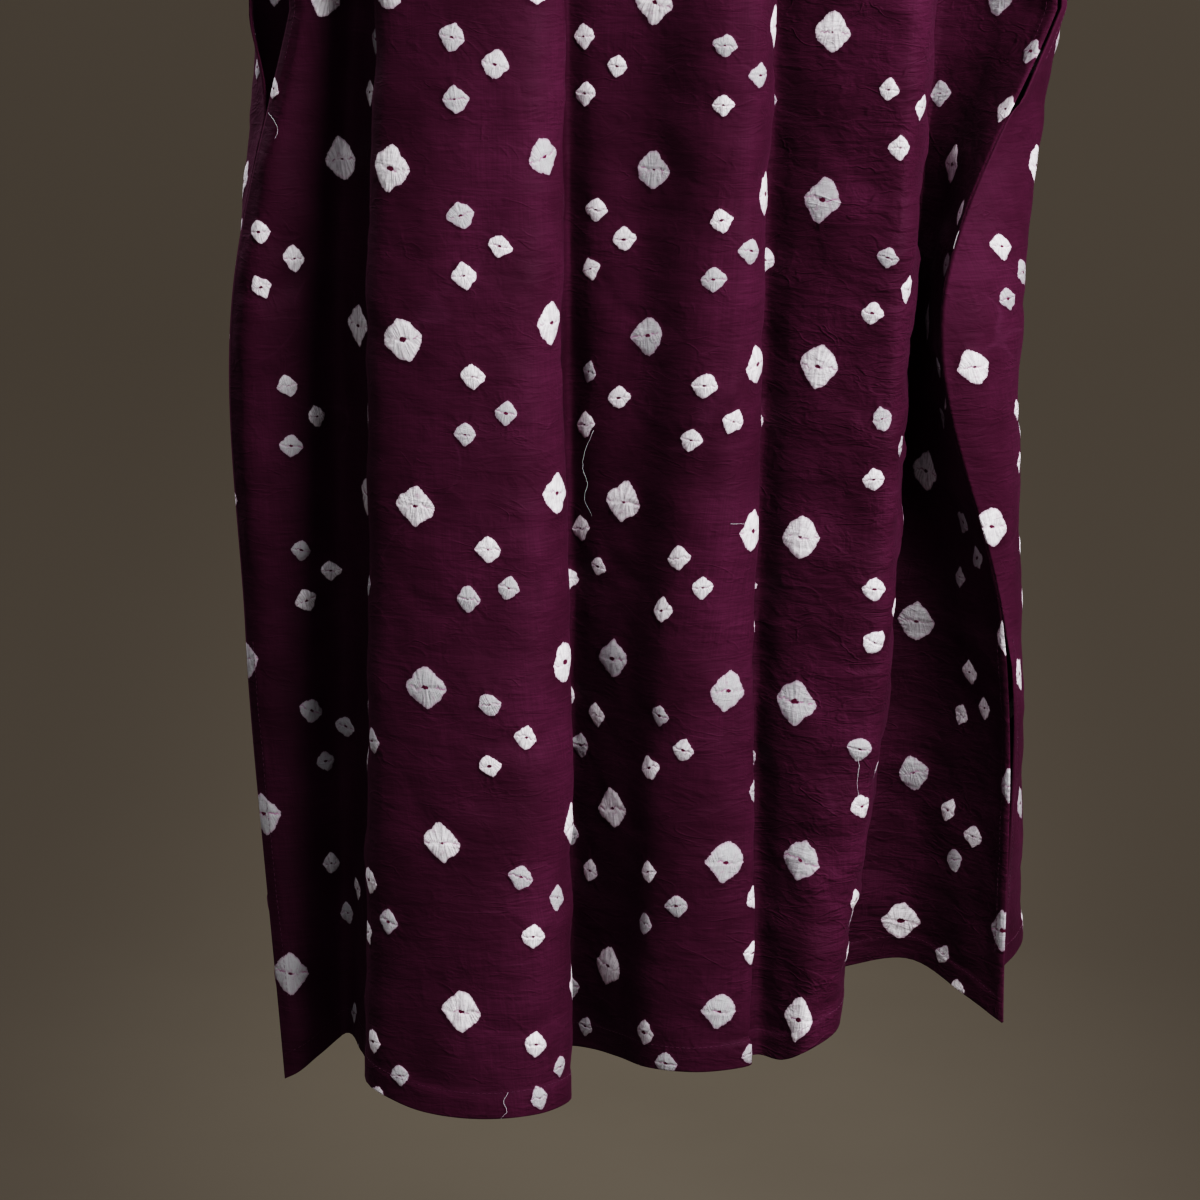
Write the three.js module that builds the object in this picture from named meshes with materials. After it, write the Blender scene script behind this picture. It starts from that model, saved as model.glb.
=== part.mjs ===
// A full-length tie-dyed kaftan, standing open as it hangs when it is worn.
// Two wide panels are joined along the shoulders and sleeve tops and down the sides.
// The neck is bound, the sleeve ends are open and the sides are slit below the knee.
// Millimetres, +Z up, front towards -Y. The origin lies between the wearer's shoulders.
import * as THREE from "three";

// Cloth and seams
const WALL = 1.5;
const BINDING_WALL = 2;
const BINDING_WIDTH = 9;
const BINDING_SEAT = 0.25;
const SEAM_GAP = 0.3;

// Heights below the shoulders
const FOLDS_TOP = 600;
const HEM = 1290;
const SLEEVE_END = 672;
const SLIT_START = 960;
const SLIT_CLEARANCE = 4;
const TABLE_HEIGHTS = [600, 780, 1000, 1290];

// Neck, shoulders and sleeve tops on a general figure
const NECK_HALF = 85;
const FRONT_NECK = { drop: 100, reach: 94 };
const BACK_NECK = { drop: 26, reach: 64 };
const NECK_SCOOP = 2.5;
const SHOULDER_RUN = 95;
const SHOULDER_TURN = 85;
const SHOULDER_SLOPE = 22;
const SLEEVE_TOP = 535;
const LEFT_SLEEVE_SLOPE = 84;
const RIGHT_SLEEVE_SLOPE = 66;
const SHOULDER_RISE = 45;
const SLEEVE_DEPTH = 46;
const SLEEVE_HANG = 1.8;
const TORSO_HALF = 190;
const FRONT_CHEST = 104;
const BACK_CHEST = 82;
const BUST = 20;
const BUST_HEIGHT = 225;

// Mesh density
const UPPER_ROWS = [0, 0.035, 0.08, 0.15, 0.26, 0.4, 0.56, 0.72, 0.87];
const LOWER_ROWS = 14;
const FRONT_STEPS = 3;
const BACK_STEPS = 2;

// Fold lines of the front panel, from the seam on the left of the photo's view to the right one.
// x and y are where a line runs at each table height, and hem is how low it ends.
const FRONT_COLUMNS = ["line", "x600", "y600", "x780", "y780", "x1000", "y1000", "x1290", "y1290", "hem"];
const FRONT_FOLDS = [
  ["seam_left", -212, 6, -252, 8, -249, 20, -226, -4, 1306],
  ["strip_crest", -203, -6, -242, -8, -240, 10, -219, -6, 1302],
  ["strip_slope", -188, 0, -210, -4, -210, 12, -205, 2, 1292],
  ["valley_one", -172, 12, -185, 18, -186, 27, -189, 16, 1282],
  ["flank_one", -156, -16, -160, -18, -162, -14, -172, -28, 1280],
  ["edge_one_left", -149, -76, -154, -88, -155, -94, -158, -108, 1280],
  ["crest_one_left", -128, -88, -131, -100, -131, -108, -133, -124, 1286],
  ["crest_one", -89, -98, -90, -109, -91, -118, -92, -136, 1288],
  ["crest_one_right", -50, -96, -54, -106, -55, -115, -55, -132, 1286],
  ["edge_one_right", -39, -80, -40, -84, -36, -91, -37, -106, 1287],
  ["tuck_one", -42, -64, -43, -58, -42, -52, -44, -42, 1288],
  ["valley_two", -36, -38, -35, -28, -33, -10, -35, 8, 1287],
  ["ridge_two", -20, -46, -21, -42, -22, -22, -21, -4, 1285],
  ["slope_two", 14, -58, 8, -54, 2, -46, -4, -26, 1283],
  ["crest_two", 62, -90, 54, -84, 28, -76, 17, -62, 1279],
  ["crest_two_right", 79, -88, 72, -82, 59, -80, 52, -76, 1277],
  ["edge_two", 92, -60, 86, -56, 82, -62, 82, -70, 1274],
  ["tuck_two", 87, -22, 81, -20, 77, -34, 79, -52, 1275],
  ["valley_three", 93, -14, 88, -12, 84, -26, 87, -44, 1276],
  ["flank_three", 113, -26, 107, -28, 101, -42, 103, -58, 1275],
  ["crest_three", 148, -48, 142, -48, 132, -56, 116, -68, 1267],
  ["crest_three_right", 179, -57, 171, -57, 161, -58, 132, -58, 1261],
  ["edge_three", 194, -15, 184, -15, 174, -12, 142, -10, 1256],
  ["tuck_three", 194, 30, 182, 30, 172, 35, 141, 45, 1256],
  ["valley_four", 206, 72, 193, 80, 180, 95, 158, 115, 1264],
  ["wing_slope", 227, 62, 197, 62, 206, 85, 196, 112, 1258],
  ["wing_front", 252, 38, 200, 20, 230, 50, 231, 75, 1271],
  ["seam_right", 274, 15, 202, -20, 248, 10, 257, 45, 1283],
];
const FRONT_NECK_LINES = ["crest_one", "edge_two"];

// Fold lines of the back panel, from the seam under the open arm round to the other seam.
const BACK_FOLDS = [
  ["seam_right", 279, 30, 202, -20, 248, 10, 262, 105, 1262],
  ["side_front", 284, 42, 226, -15, 259, 26, 274, 132, 1260],
  ["side_right", 283, 58, 252, 10, 264, 52, 282, 168, 1257],
  ["side_back", 266, 88, 256, 62, 262, 98, 273, 208, 1256],
  ["crest_one_right", 238, 112, 236, 118, 240, 150, 246, 236, 1258],
  ["crest_one", 205, 118, 205, 138, 208, 166, 214, 240, 1260],
  ["edge_one", 180, 108, 180, 132, 182, 158, 186, 222, 1264],
  ["valley_one", 158, 92, 160, 106, 160, 126, 162, 168, 1266],
  ["flank_two", 132, 104, 132, 128, 134, 146, 138, 176, 1268],
  ["crest_two", 95, 126, 96, 166, 92, 188, 90, 222, 1272],
  ["edge_two", 62, 120, 58, 154, 52, 174, 44, 206, 1276],
  ["valley_two", 44, 104, 42, 118, 38, 128, 34, 146, 1278],
  ["flank_three", 18, 112, 14, 136, 10, 146, 2, 160, 1280],
  ["crest_three", -22, 128, -26, 170, -32, 190, -42, 216, 1284],
  ["edge_three", -56, 118, -62, 152, -68, 168, -80, 194, 1286],
  ["valley_three", -78, 98, -82, 112, -86, 116, -92, 128, 1286],
  ["flank_four", -106, 108, -110, 132, -114, 140, -120, 150, 1286],
  ["crest_four", -148, 120, -152, 158, -158, 176, -168, 200, 1288],
  ["edge_four", -182, 106, -190, 138, -196, 150, -206, 168, 1290],
  ["valley_four", -200, 90, -206, 98, -208, 102, -208, 108, 1294],
  ["side_left_back", -224, 86, -232, 92, -232, 90, -226, 92, 1298],
  ["side_left", -238, 64, -248, 54, -246, 58, -230, 58, 1303],
  ["seam_left", -240, 36, -252, 8, -249, 20, -228, 28, 1308],
];
const BACK_NECK_LINES = ["crest_two", "edge_three"];

const smooth = (t) => {
  const c = Math.min(1, Math.max(0, t));
  return c * c * (3 - 2 * c);
};
const lerp = (a, b, t) => a + (b - a) * t;
const radians = THREE.MathUtils.degToRad;

// A table row as an object with its named columns.
function namedRow(row) {
  return Object.fromEntries(FRONT_COLUMNS.map((name, i) => [name, row[i]]));
}

// Slopes of a smooth curve through values at uneven knots.
function slopes(values, knots) {
  const last = values.length - 1;
  const rise = (i) => (values[i + 1] - values[i]) / (knots[i + 1] - knots[i]);
  return values.map((_, i) => {
    if (i === 0) return rise(0);
    if (i === last) return rise(last - 1);
    const before = knots[i] - knots[i - 1];
    const after = knots[i + 1] - knots[i];
    return (rise(i) * before + rise(i - 1) * after) / (before + after);
  });
}

// The smooth curve's value between knots i and i + 1, t of the way along.
function between(values, slope, knots, i, t) {
  const span = knots[i + 1] - knots[i];
  const t2 = t * t;
  const t3 = t2 * t;
  return (2 * t3 - 3 * t2 + 1) * values[i] + (t3 - 2 * t2 + t) * span * slope[i]
    + (3 * t2 - 2 * t3) * values[i + 1] + (t3 - t2) * span * slope[i + 1];
}

function curveAt(values, knots, at) {
  let i = knots.length - 2;
  while (i > 0 && at < knots[i]) i -= 1;
  return between(values, slopes(values, knots), knots, i, (at - knots[i]) / (knots[i + 1] - knots[i]));
}

// Where every fold line of a table runs, down of the way from the fold tops to the hem.
// The hem's own unevenness comes in below the slits' start, so seams stay level above it.
function foldPoints(table, down) {
  const depth = lerp(FOLDS_TOP, HEM, down);
  const slitDown = (SLIT_START - FOLDS_TOP) / (HEM - FOLDS_TOP);
  const low = Math.max(0, (down - slitDown) / (1 - slitDown)) ** 2;
  return table.map(namedRow).map((row) => new THREE.Vector3(
    curveAt(TABLE_HEIGHTS.map((h) => row[`x${h}`]), TABLE_HEIGHTS, depth),
    curveAt(TABLE_HEIGHTS.map((h) => row[`y${h}`]), TABLE_HEIGHTS, depth),
    -depth - (row.hem - HEM) * low,
  ));
}

// How far the two panels part at a side: none where the side is sewn, all at sleeve and hem.
function parting(depth) {
  const sleeve = smooth((SLEEVE_END - depth) / (SLEEVE_END - FOLDS_TOP));
  const slit = smooth((depth - SLIT_START) / (HEM - SLIT_START));
  return Math.max(sleeve, slit);
}

// One level section: a smooth curve through its fold points, steps a stretch.
function section(points, steps) {
  const knots = [0];
  for (let i = 1; i < points.length; i += 1) {
    knots.push(knots[i - 1] + Math.hypot(points[i].x - points[i - 1].x, points[i].y - points[i - 1].y));
  }
  const axes = ["x", "y", "z"].map((axis) => points.map((p) => p[axis]));
  const rates = axes.map((values) => slopes(values, knots));
  const curve = [];
  for (let i = 0; i < points.length - 1; i += 1) {
    for (let k = 0; k < steps; k += 1) {
      curve.push(new THREE.Vector3(...axes.map((values, a) => between(values, rates[a], knots, i, k / steps))));
    }
  }
  curve.push(points[points.length - 1].clone());
  return curve;
}

// Distance along a section at each of its points.
function clothWidths(curve) {
  const along = [0];
  for (let i = 1; i < curve.length; i += 1) along.push(along[i - 1] + curve[i].distanceTo(curve[i - 1]));
  return along;
}

// The shoulder and sleeve-top line: slopes gently, turns over the shoulder, then runs down the arm.
function shoulderLine(out, side) {
  const armSlope = side < 0 ? LEFT_SLEEVE_SLOPE : RIGHT_SLEEVE_SLOPE;
  const pieces = 40;
  const point = new THREE.Vector3(NECK_HALF, 0, 0);
  for (let i = 0; i < pieces; i += 1) {
    const along = (out * (i + 0.5)) / pieces;
    const slope = radians(lerp(SHOULDER_SLOPE, armSlope, smooth((along - SHOULDER_RUN) / SHOULDER_TURN)));
    point.x += (Math.cos(slope) * out) / pieces;
    point.z -= (Math.sin(slope) * out) / pieces;
  }
  point.x *= side;
  return point;
}

// The top edge of a panel at cloth place s: the neckline within the neck, else the shoulder line.
function topEdge(s, face, neck) {
  if (Math.abs(s) >= NECK_HALF - 0.01) {
    const point = shoulderLine(Math.abs(s) - NECK_HALF, Math.sign(s));
    point.y += (face * SEAM_GAP) / 2;
    return point;
  }
  const turn = ((s / NECK_HALF) * Math.PI) / 2;
  const dip = Math.cos(turn);
  const forward = face * (neck.reach * dip + SEAM_GAP / 2);
  return new THREE.Vector3(NECK_HALF * Math.sin(turn), forward, -neck.drop * dip ** NECK_SCOOP);
}

// Cloth places of a top section's points, stretched so that the neck corners and ends fit the cut.
function clothPlaces(curve, corners, face) {
  const along = clothWidths(curve);
  const [first, second] = corners;
  const ends = [-SLEEVE_TOP, -NECK_HALF, NECK_HALF, SLEEVE_TOP];
  const at = [0, along[first], along[second], along[along.length - 1]];
  return along.map((a, i) => {
    const part = i < first ? 0 : i < second ? 1 : 2;
    const place = lerp(ends[part], ends[part + 1], (a - at[part]) / (at[part + 1] - at[part]));
    return -face * place;
  });
}

// A column above the fold tops: over the shoulder, down the chest or back, then into its fold.
function upperPoint(top, low, place, down, face, chest) {
  const overPart = UPPER_ROWS[3];
  const over = Math.min(1, down / overPart) * (Math.PI / 2);
  const fall = Math.max(0, (down - overPart) / (1 - overPart));
  const torso = Math.exp(-((place / TORSO_HALF) ** 2));
  const front = face * lerp(SLEEVE_DEPTH, chest, torso);
  const z = top.z - SHOULDER_RISE * (1 - Math.cos(over)) - (top.z - SHOULDER_RISE + FOLDS_TOP) * fall;
  const bust = face < 0 ? BUST * Math.exp(-(((z + BUST_HEIGHT) / 90) ** 2)) * torso * smooth(fall * 6) : 0;
  const hang = smooth(fall ** lerp(SLEEVE_HANG, 1, torso));
  const y = lerp(lerp(top.y, front, Math.sin(over)), low.y, hang) - bust;
  return new THREE.Vector3(lerp(top.x, low.x, smooth(down)), y, z);
}

// A panel's rows of points, from its top edge to its hem.
function panelRows(table, steps, face, neck, chest, neckLines, seamPoints) {
  const rows = [];
  const lowerRow = (down) => {
    const points = foldPoints(table, down);
    if (seamPoints) seamPoints(points, down);
    return section(points, steps);
  };
  const foldTop = lowerRow(0);
  const corners = neckLines.map((name) => table.findIndex((row) => row[0] === name) * steps);
  const places = clothPlaces(foldTop, corners, face);
  UPPER_ROWS.forEach((down) => {
    rows.push(foldTop.map((low, i) => upperPoint(topEdge(places[i], face, neck), low, places[i], down, face, chest)));
  });
  for (let k = 0; k <= LOWER_ROWS; k += 1) rows.push(lowerRow(k / LOWER_ROWS));
  return { rows, corners };
}

// The back panel's side edges follow the front panel's, a seam gap away, where the side is sewn.
function seamFollower(frontTable) {
  return (points, down) => {
    const depth = lerp(FOLDS_TOP, HEM, down);
    const open = parting(depth);
    const front = foldPoints(frontTable, down);
    const last = points.length - 1;
    const follow = (mine, frontEdge, frontNext, backNext) => {
      const across = backNext.clone().sub(frontNext).setZ(0).normalize();
      const clear = SEAM_GAP + SLIT_CLEARANCE * smooth(open * 8);
      const sewn = frontEdge.clone().addScaledVector(across, clear);
      points[mine] = sewn.lerp(points[mine], open);
    };
    follow(0, front[front.length - 1], front[front.length - 2], points[1]);
    follow(last, front[0], front[1], points[last - 1]);
  };
}

// Unit normals of a grid of points, outwards from the garment.
function gridNormals(rows) {
  const lastRow = rows.length - 1;
  return rows.map((row, r) => row.map((_, c) => {
    const lastColumn = row.length - 1;
    const along = row[Math.min(c + 1, lastColumn)].clone().sub(row[Math.max(c - 1, 0)]);
    const down = rows[Math.min(r + 1, lastRow)][c].clone().sub(rows[Math.max(r - 1, 0)][c]);
    return down.cross(along).normalize();
  }));
}

// A closed wall between the points moved out and in by half its thickness.
function wallGeometry(rows, normals, thickness) {
  const height = rows.length;
  const width = rows[0].length;
  const positions = [];
  [1, -1].forEach((side) => rows.forEach((row, r) => row.forEach((p, c) => {
    const moved = p.clone().addScaledVector(normals[r][c], (side * thickness) / 2);
    positions.push(moved.x, moved.y, moved.z);
  })));
  const id = (side, r, c) => side * width * height + r * width + c;
  const faces = [];
  const quad = (a, b, c, d) => faces.push(a, b, c, a, c, d);
  for (let r = 0; r < height - 1; r += 1) {
    for (let c = 0; c < width - 1; c += 1) {
      quad(id(0, r, c), id(0, r + 1, c), id(0, r + 1, c + 1), id(0, r, c + 1));
      quad(id(1, r, c), id(1, r, c + 1), id(1, r + 1, c + 1), id(1, r + 1, c));
    }
  }
  for (let c = 0; c < width - 1; c += 1) {
    quad(id(0, 0, c), id(0, 0, c + 1), id(1, 0, c + 1), id(1, 0, c));
    quad(id(0, height - 1, c), id(1, height - 1, c), id(1, height - 1, c + 1), id(0, height - 1, c + 1));
  }
  for (let r = 0; r < height - 1; r += 1) {
    quad(id(0, r, 0), id(1, r, 0), id(1, r + 1, 0), id(0, r + 1, 0));
    quad(id(0, r, width - 1), id(0, r + 1, width - 1), id(1, r + 1, width - 1), id(1, r, width - 1));
  }
  const geometry = new THREE.BufferGeometry();
  geometry.setAttribute("position", new THREE.Float32BufferAttribute(positions, 3));
  geometry.setIndex(faces);
  geometry.computeVertexNormals();
  return geometry;
}

// The edges that face another panel's edge get one shared direction of thickness.
function matchShoulders(front, back) {
  [front, back].forEach((panel) => {
    const edge = panel.rows[0];
    edge.forEach((_, c) => {
      if (c > panel.corners[0] && c < panel.corners[1]) return;
      const onNeck = (i) => i > panel.corners[0] && i < panel.corners[1];
      const next = c + 1 < edge.length && !onNeck(c + 1) ? c + 1 : c;
      const before = c > 0 && !onNeck(c - 1) ? c - 1 : c;
      const run = edge[next].clone().sub(edge[before]).setY(0);
      if (run.x < 0) run.negate();
      panel.normals[0][c].set(-run.z, 0, run.x).normalize();
    });
  });
}

function matchSides(front, back) {
  front.rows.forEach((row, r) => {
    if (r === 0) return;
    const other = back.rows[r];
    const pairs = [
      [row.length - 1, row.length - 2, 0, 1],
      [0, 1, other.length - 1, other.length - 2],
    ];
    pairs.forEach(([mine, mineNext, theirs, theirsNext]) => {
      const apart = row[mine].distanceTo(other[theirs]);
      const own = smooth((apart - 1) / 6);
      const across = other[theirsNext].clone().sub(row[mineNext]).setZ(0).normalize();
      const shared = new THREE.Vector3(across.y, -across.x, 0);
      if (shared.dot(front.normals[r][mine]) < 0) shared.negate();
      front.normals[r][mine].lerp(shared, 1 - own).normalize();
      back.normals[r][theirs].lerp(shared, 1 - own).normalize();
    });
  });
}

// The neck binding stands on both panels' neck edges, leaning in towards the neck.
function bindingGeometry(front, back) {
  const neckEdge = (panel) => panel.rows[0].slice(panel.corners[0], panel.corners[1] + 1);
  const loop = [...neckEdge(front), ...neckEdge(back)];
  const count = loop.length;
  const inner = [];
  loop.forEach((p, i) => {
    const tangent = loop[(i + 1) % count].clone().sub(loop[(i + count - 1) % count]).normalize();
    const rise = new THREE.Vector3(-p.x, -p.y, 0).normalize().multiplyScalar(0.45).setZ(0.9);
    rise.addScaledVector(tangent, -rise.dot(tangent)).normalize();
    const out = tangent.clone().cross(rise).normalize();
    const foot = p.clone().addScaledVector(rise, SEAM_GAP + WALL / 2 + BINDING_SEAT);
    const head = foot.clone().addScaledVector(rise, BINDING_WIDTH);
    const half = BINDING_WALL / 2;
    inner.push([
      foot.clone().addScaledVector(out, half), head.clone().addScaledVector(out, half),
      head.clone().addScaledVector(out, -half), foot.clone().addScaledVector(out, -half),
    ]);
  });
  const positions = inner.flat().flatMap((p) => [p.x, p.y, p.z]);
  const faces = [];
  for (let i = 0; i < count; i += 1) {
    for (let k = 0; k < 4; k += 1) {
      const a = i * 4 + k;
      const b = i * 4 + ((k + 1) % 4);
      const c = ((i + 1) % count) * 4 + ((k + 1) % 4);
      const d = ((i + 1) % count) * 4 + k;
      faces.push(a, d, c, a, c, b);
    }
  }
  const geometry = new THREE.BufferGeometry();
  geometry.setAttribute("position", new THREE.Float32BufferAttribute(positions, 3));
  geometry.setIndex(faces);
  geometry.computeVertexNormals();
  return geometry;
}

function panel(table, steps, face, neck, chest, neckLines, seams) {
  const made = panelRows(table, steps, face, neck, chest, neckLines, seams);
  made.normals = gridNormals(made.rows);
  return made;
}

const front = panel(FRONT_FOLDS, FRONT_STEPS, -1, FRONT_NECK, FRONT_CHEST, FRONT_NECK_LINES, null);
const back = panel(BACK_FOLDS, BACK_STEPS, 1, BACK_NECK, BACK_CHEST, BACK_NECK_LINES, seamFollower(FRONT_FOLDS));
matchShoulders(front, back);
matchSides(front, back);

function clothMesh(name, geometry, color) {
  const mesh = new THREE.Mesh(geometry, new THREE.MeshStandardMaterial({ color, roughness: 0.72, metalness: 0 }));
  mesh.name = name;
  return mesh;
}

const kaftan = new THREE.Group();
kaftan.add(clothMesh("front_panel", wallGeometry(front.rows, front.normals, WALL), 0x451033));
kaftan.add(clothMesh("back_panel", wallGeometry(back.rows, back.normals, WALL), 0x451033));
kaftan.add(clothMesh("neck_binding", bindingGeometry(front, back), 0x3d0d2d));

export default kaftan;
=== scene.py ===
"""A tie-dyed bandhani kaftan hanging in deep folds, as it does when it is worn.

Metres, +Z up, front towards -Y, origin between the wearer's shoulders. The panels are worked out
from tables of fold lines in millimetres, the same ones as the rigid part's, on a finer grid.
"""

import bpy
import numpy as np
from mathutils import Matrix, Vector


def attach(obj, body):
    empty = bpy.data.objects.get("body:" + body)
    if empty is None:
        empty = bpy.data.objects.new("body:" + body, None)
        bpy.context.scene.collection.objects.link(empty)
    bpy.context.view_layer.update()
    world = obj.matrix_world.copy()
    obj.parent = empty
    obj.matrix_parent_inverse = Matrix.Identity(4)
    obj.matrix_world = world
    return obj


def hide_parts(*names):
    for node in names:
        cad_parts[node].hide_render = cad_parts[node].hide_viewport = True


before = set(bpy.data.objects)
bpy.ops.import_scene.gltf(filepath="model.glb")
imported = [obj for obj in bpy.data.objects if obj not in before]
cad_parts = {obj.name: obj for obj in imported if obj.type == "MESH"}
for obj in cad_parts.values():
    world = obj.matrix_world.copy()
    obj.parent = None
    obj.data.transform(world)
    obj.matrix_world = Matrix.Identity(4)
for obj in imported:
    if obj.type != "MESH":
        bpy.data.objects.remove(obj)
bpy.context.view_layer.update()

MM = 0.001

# Cloth, in millimetres
CLOTH = 0.7
HEM_DEPTH = 17.0
HEM_THICKER = 0.9
BINDING_WALL = 1.6
BINDING_WIDTH = 9.0
SEAM_GAP = 0.3

# Heights below the shoulders, in millimetres
FOLDS_TOP = 600.0
HEM = 1290.0
SLEEVE_END = 672.0
SLIT_START = 960.0
SLIT_CLEARANCE = 4.0
TABLE_HEIGHTS = np.array([600.0, 780.0, 1000.0, 1290.0])

# Neck, shoulders and sleeve tops on a general figure, in millimetres and degrees
NECK_HALF = 85.0
FRONT_NECK = (100.0, 94.0)
BACK_NECK = (26.0, 64.0)
NECK_SCOOP = 2.5
SHOULDER_RUN = 95.0
SHOULDER_TURN = 85.0
SHOULDER_SLOPE = 22.0
SHOULDER_PIECES = 40
SLEEVE_TOP = 535.0
LEFT_SLEEVE_SLOPE = 84.0
RIGHT_SLEEVE_SLOPE = 66.0
SHOULDER_RISE = 45.0
SLEEVE_DEPTH = 46.0
SLEEVE_HANG = 1.8
TORSO_HALF = 190.0
FRONT_CHEST = 104.0
BACK_CHEST = 82.0
BUST = 20.0
BUST_HEIGHT = 225.0
BUST_REACH = 90.0
OVER_SHOULDER = 0.15

# Grid density: points a stretch between fold lines, and rows, which lie closer at the hem's turning
FRONT_STEPS = 8
BACK_STEPS = 9
UPPER_ROWS = 62
UPPER_SPREAD = 1.15
LOWER_ROWS = 138
LOWER_END = 22.0
HEM_ROWS = np.array([19.5, 18.0, 16.5, 14.0, 9.0, 4.5, 2.0, 0.8, 0.0])

# A row is a fold line: name, x and y at each table height, and how low it ends
FRONT_FOLDS = [
    ("seam_left", -212, 6, -252, 8, -249, 20, -226, -4, 1306),
    ("strip_crest", -203, -6, -242, -8, -240, 10, -219, -6, 1302),
    ("strip_slope", -188, 0, -210, -4, -210, 12, -205, 2, 1292),
    ("valley_one", -172, 12, -185, 18, -186, 27, -189, 16, 1282),
    ("flank_one", -156, -16, -160, -18, -162, -14, -172, -28, 1280),
    ("edge_one_left", -149, -76, -154, -88, -155, -94, -158, -108, 1280),
    ("crest_one_left", -128, -88, -131, -100, -131, -108, -133, -124, 1286),
    ("crest_one", -89, -98, -90, -109, -91, -118, -92, -136, 1288),
    ("crest_one_right", -50, -96, -54, -106, -55, -115, -55, -132, 1286),
    ("edge_one_right", -39, -80, -40, -84, -36, -91, -37, -106, 1287),
    ("tuck_one", -42, -64, -43, -58, -42, -52, -44, -42, 1288),
    ("valley_two", -36, -38, -35, -28, -33, -10, -35, 8, 1287),
    ("ridge_two", -20, -46, -21, -42, -22, -22, -21, -4, 1285),
    ("slope_two", 14, -58, 8, -54, 2, -46, -4, -26, 1283),
    ("crest_two", 62, -90, 54, -84, 28, -76, 17, -62, 1279),
    ("crest_two_right", 79, -88, 72, -82, 59, -80, 52, -76, 1277),
    ("edge_two", 92, -60, 86, -56, 82, -62, 82, -70, 1274),
    ("tuck_two", 87, -22, 81, -20, 77, -34, 79, -52, 1275),
    ("valley_three", 93, -14, 88, -12, 84, -26, 87, -44, 1276),
    ("flank_three", 113, -26, 107, -28, 101, -42, 103, -58, 1275),
    ("crest_three", 148, -48, 142, -48, 132, -56, 116, -68, 1267),
    ("crest_three_right", 179, -57, 171, -57, 161, -58, 132, -58, 1261),
    ("edge_three", 194, -15, 184, -15, 174, -12, 142, -10, 1256),
    ("tuck_three", 194, 30, 182, 30, 172, 35, 141, 45, 1256),
    ("valley_four", 206, 72, 193, 80, 180, 95, 158, 115, 1264),
    ("wing_slope", 227, 62, 197, 62, 206, 85, 196, 112, 1258),
    ("wing_front", 252, 38, 200, 20, 230, 50, 231, 75, 1271),
    ("seam_right", 274, 15, 202, -20, 248, 10, 257, 45, 1283),
]
BACK_FOLDS = [
    ("seam_right", 279, 30, 202, -20, 248, 10, 262, 105, 1262),
    ("side_front", 284, 42, 226, -15, 259, 26, 274, 132, 1260),
    ("side_right", 283, 58, 252, 10, 264, 52, 282, 168, 1257),
    ("side_back", 266, 88, 256, 62, 262, 98, 273, 208, 1256),
    ("crest_one_right", 238, 112, 236, 118, 240, 150, 246, 236, 1258),
    ("crest_one", 205, 118, 205, 138, 208, 166, 214, 240, 1260),
    ("edge_one", 180, 108, 180, 132, 182, 158, 186, 222, 1264),
    ("valley_one", 158, 92, 160, 106, 160, 126, 162, 168, 1266),
    ("flank_two", 132, 104, 132, 128, 134, 146, 138, 176, 1268),
    ("crest_two", 95, 126, 96, 166, 92, 188, 90, 222, 1272),
    ("edge_two", 62, 120, 58, 154, 52, 174, 44, 206, 1276),
    ("valley_two", 44, 104, 42, 118, 38, 128, 34, 146, 1278),
    ("flank_three", 18, 112, 14, 136, 10, 146, 2, 160, 1280),
    ("crest_three", -22, 128, -26, 170, -32, 190, -42, 216, 1284),
    ("edge_three", -56, 118, -62, 152, -68, 168, -80, 194, 1286),
    ("valley_three", -78, 98, -82, 112, -86, 116, -92, 128, 1286),
    ("flank_four", -106, 108, -110, 132, -114, 140, -120, 150, 1286),
    ("crest_four", -148, 120, -152, 158, -158, 176, -168, 200, 1288),
    ("edge_four", -182, 106, -190, 138, -196, 150, -206, 168, 1290),
    ("valley_four", -200, 90, -206, 98, -208, 102, -208, 108, 1294),
    ("side_left_back", -224, 86, -232, 92, -232, 90, -226, 92, 1298),
    ("side_left", -238, 64, -248, 54, -246, 58, -230, 58, 1303),
    ("seam_left", -240, 36, -252, 8, -249, 20, -228, 28, 1308),
]
FRONT_NECK_LINES = ("crest_one", "edge_two")
BACK_NECK_LINES = ("crest_two", "edge_three")
GRAIN_LINES = ("flank_one", "edge_one_right")

# The tied dots, in metres of cloth. Columns run down the cloth and rows across it.
COLUMN_WIDTH = 0.107
ROW_HEIGHT = 0.1055
FIRST_ROW = 0.690
DOT_COLUMNS = range(-3, 12)
DOT_ROWS = range(-8, 8)
COLUMN_DROPS = (0.016, 0.007, 0.0, -0.008, 0.005, 0.020, 0.027, 0.027, 0.010, 0.0)
COLUMN_SHIFTS = (-0.026, -0.013, 0.0, -0.010, 0.016, 0.002, -0.010, 0.010, 0.010, 0.0)
CLUSTER_DROPS = (0.010, 0.0, 0.0, 0.014, 0.006, 0.004, 0.008, 0.006, 0.0, 0.0)
CLUSTER_SHIFTS = (-0.016, -0.004, 0.0, 0.038, 0.020, -0.011, -0.006, 0.010, 0.010, 0.0)
LARGE_DOT = (0.0128, 0.0136)
SMALL_DOT = (0.0078, 0.0081)
DIAMOND_POWER = 1.32
CLUSTER = ((-0.0078, -0.0182), (0.0143, 0.0), (-0.0076, 0.0180))
CLUSTER_LEFT = 0.005
CLUSTER_UP = 0.011

# Relief: crease gain, how far edges stay calm in mm, and from where to where across u it gets crumpled
CREASE_GAIN = 1.35
CALM_EDGE = 14.0
CALM_TOP_ROWS = 5
CALM_TURNING = 0.6
CRUMPLED = (0.34, 0.42)

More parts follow.
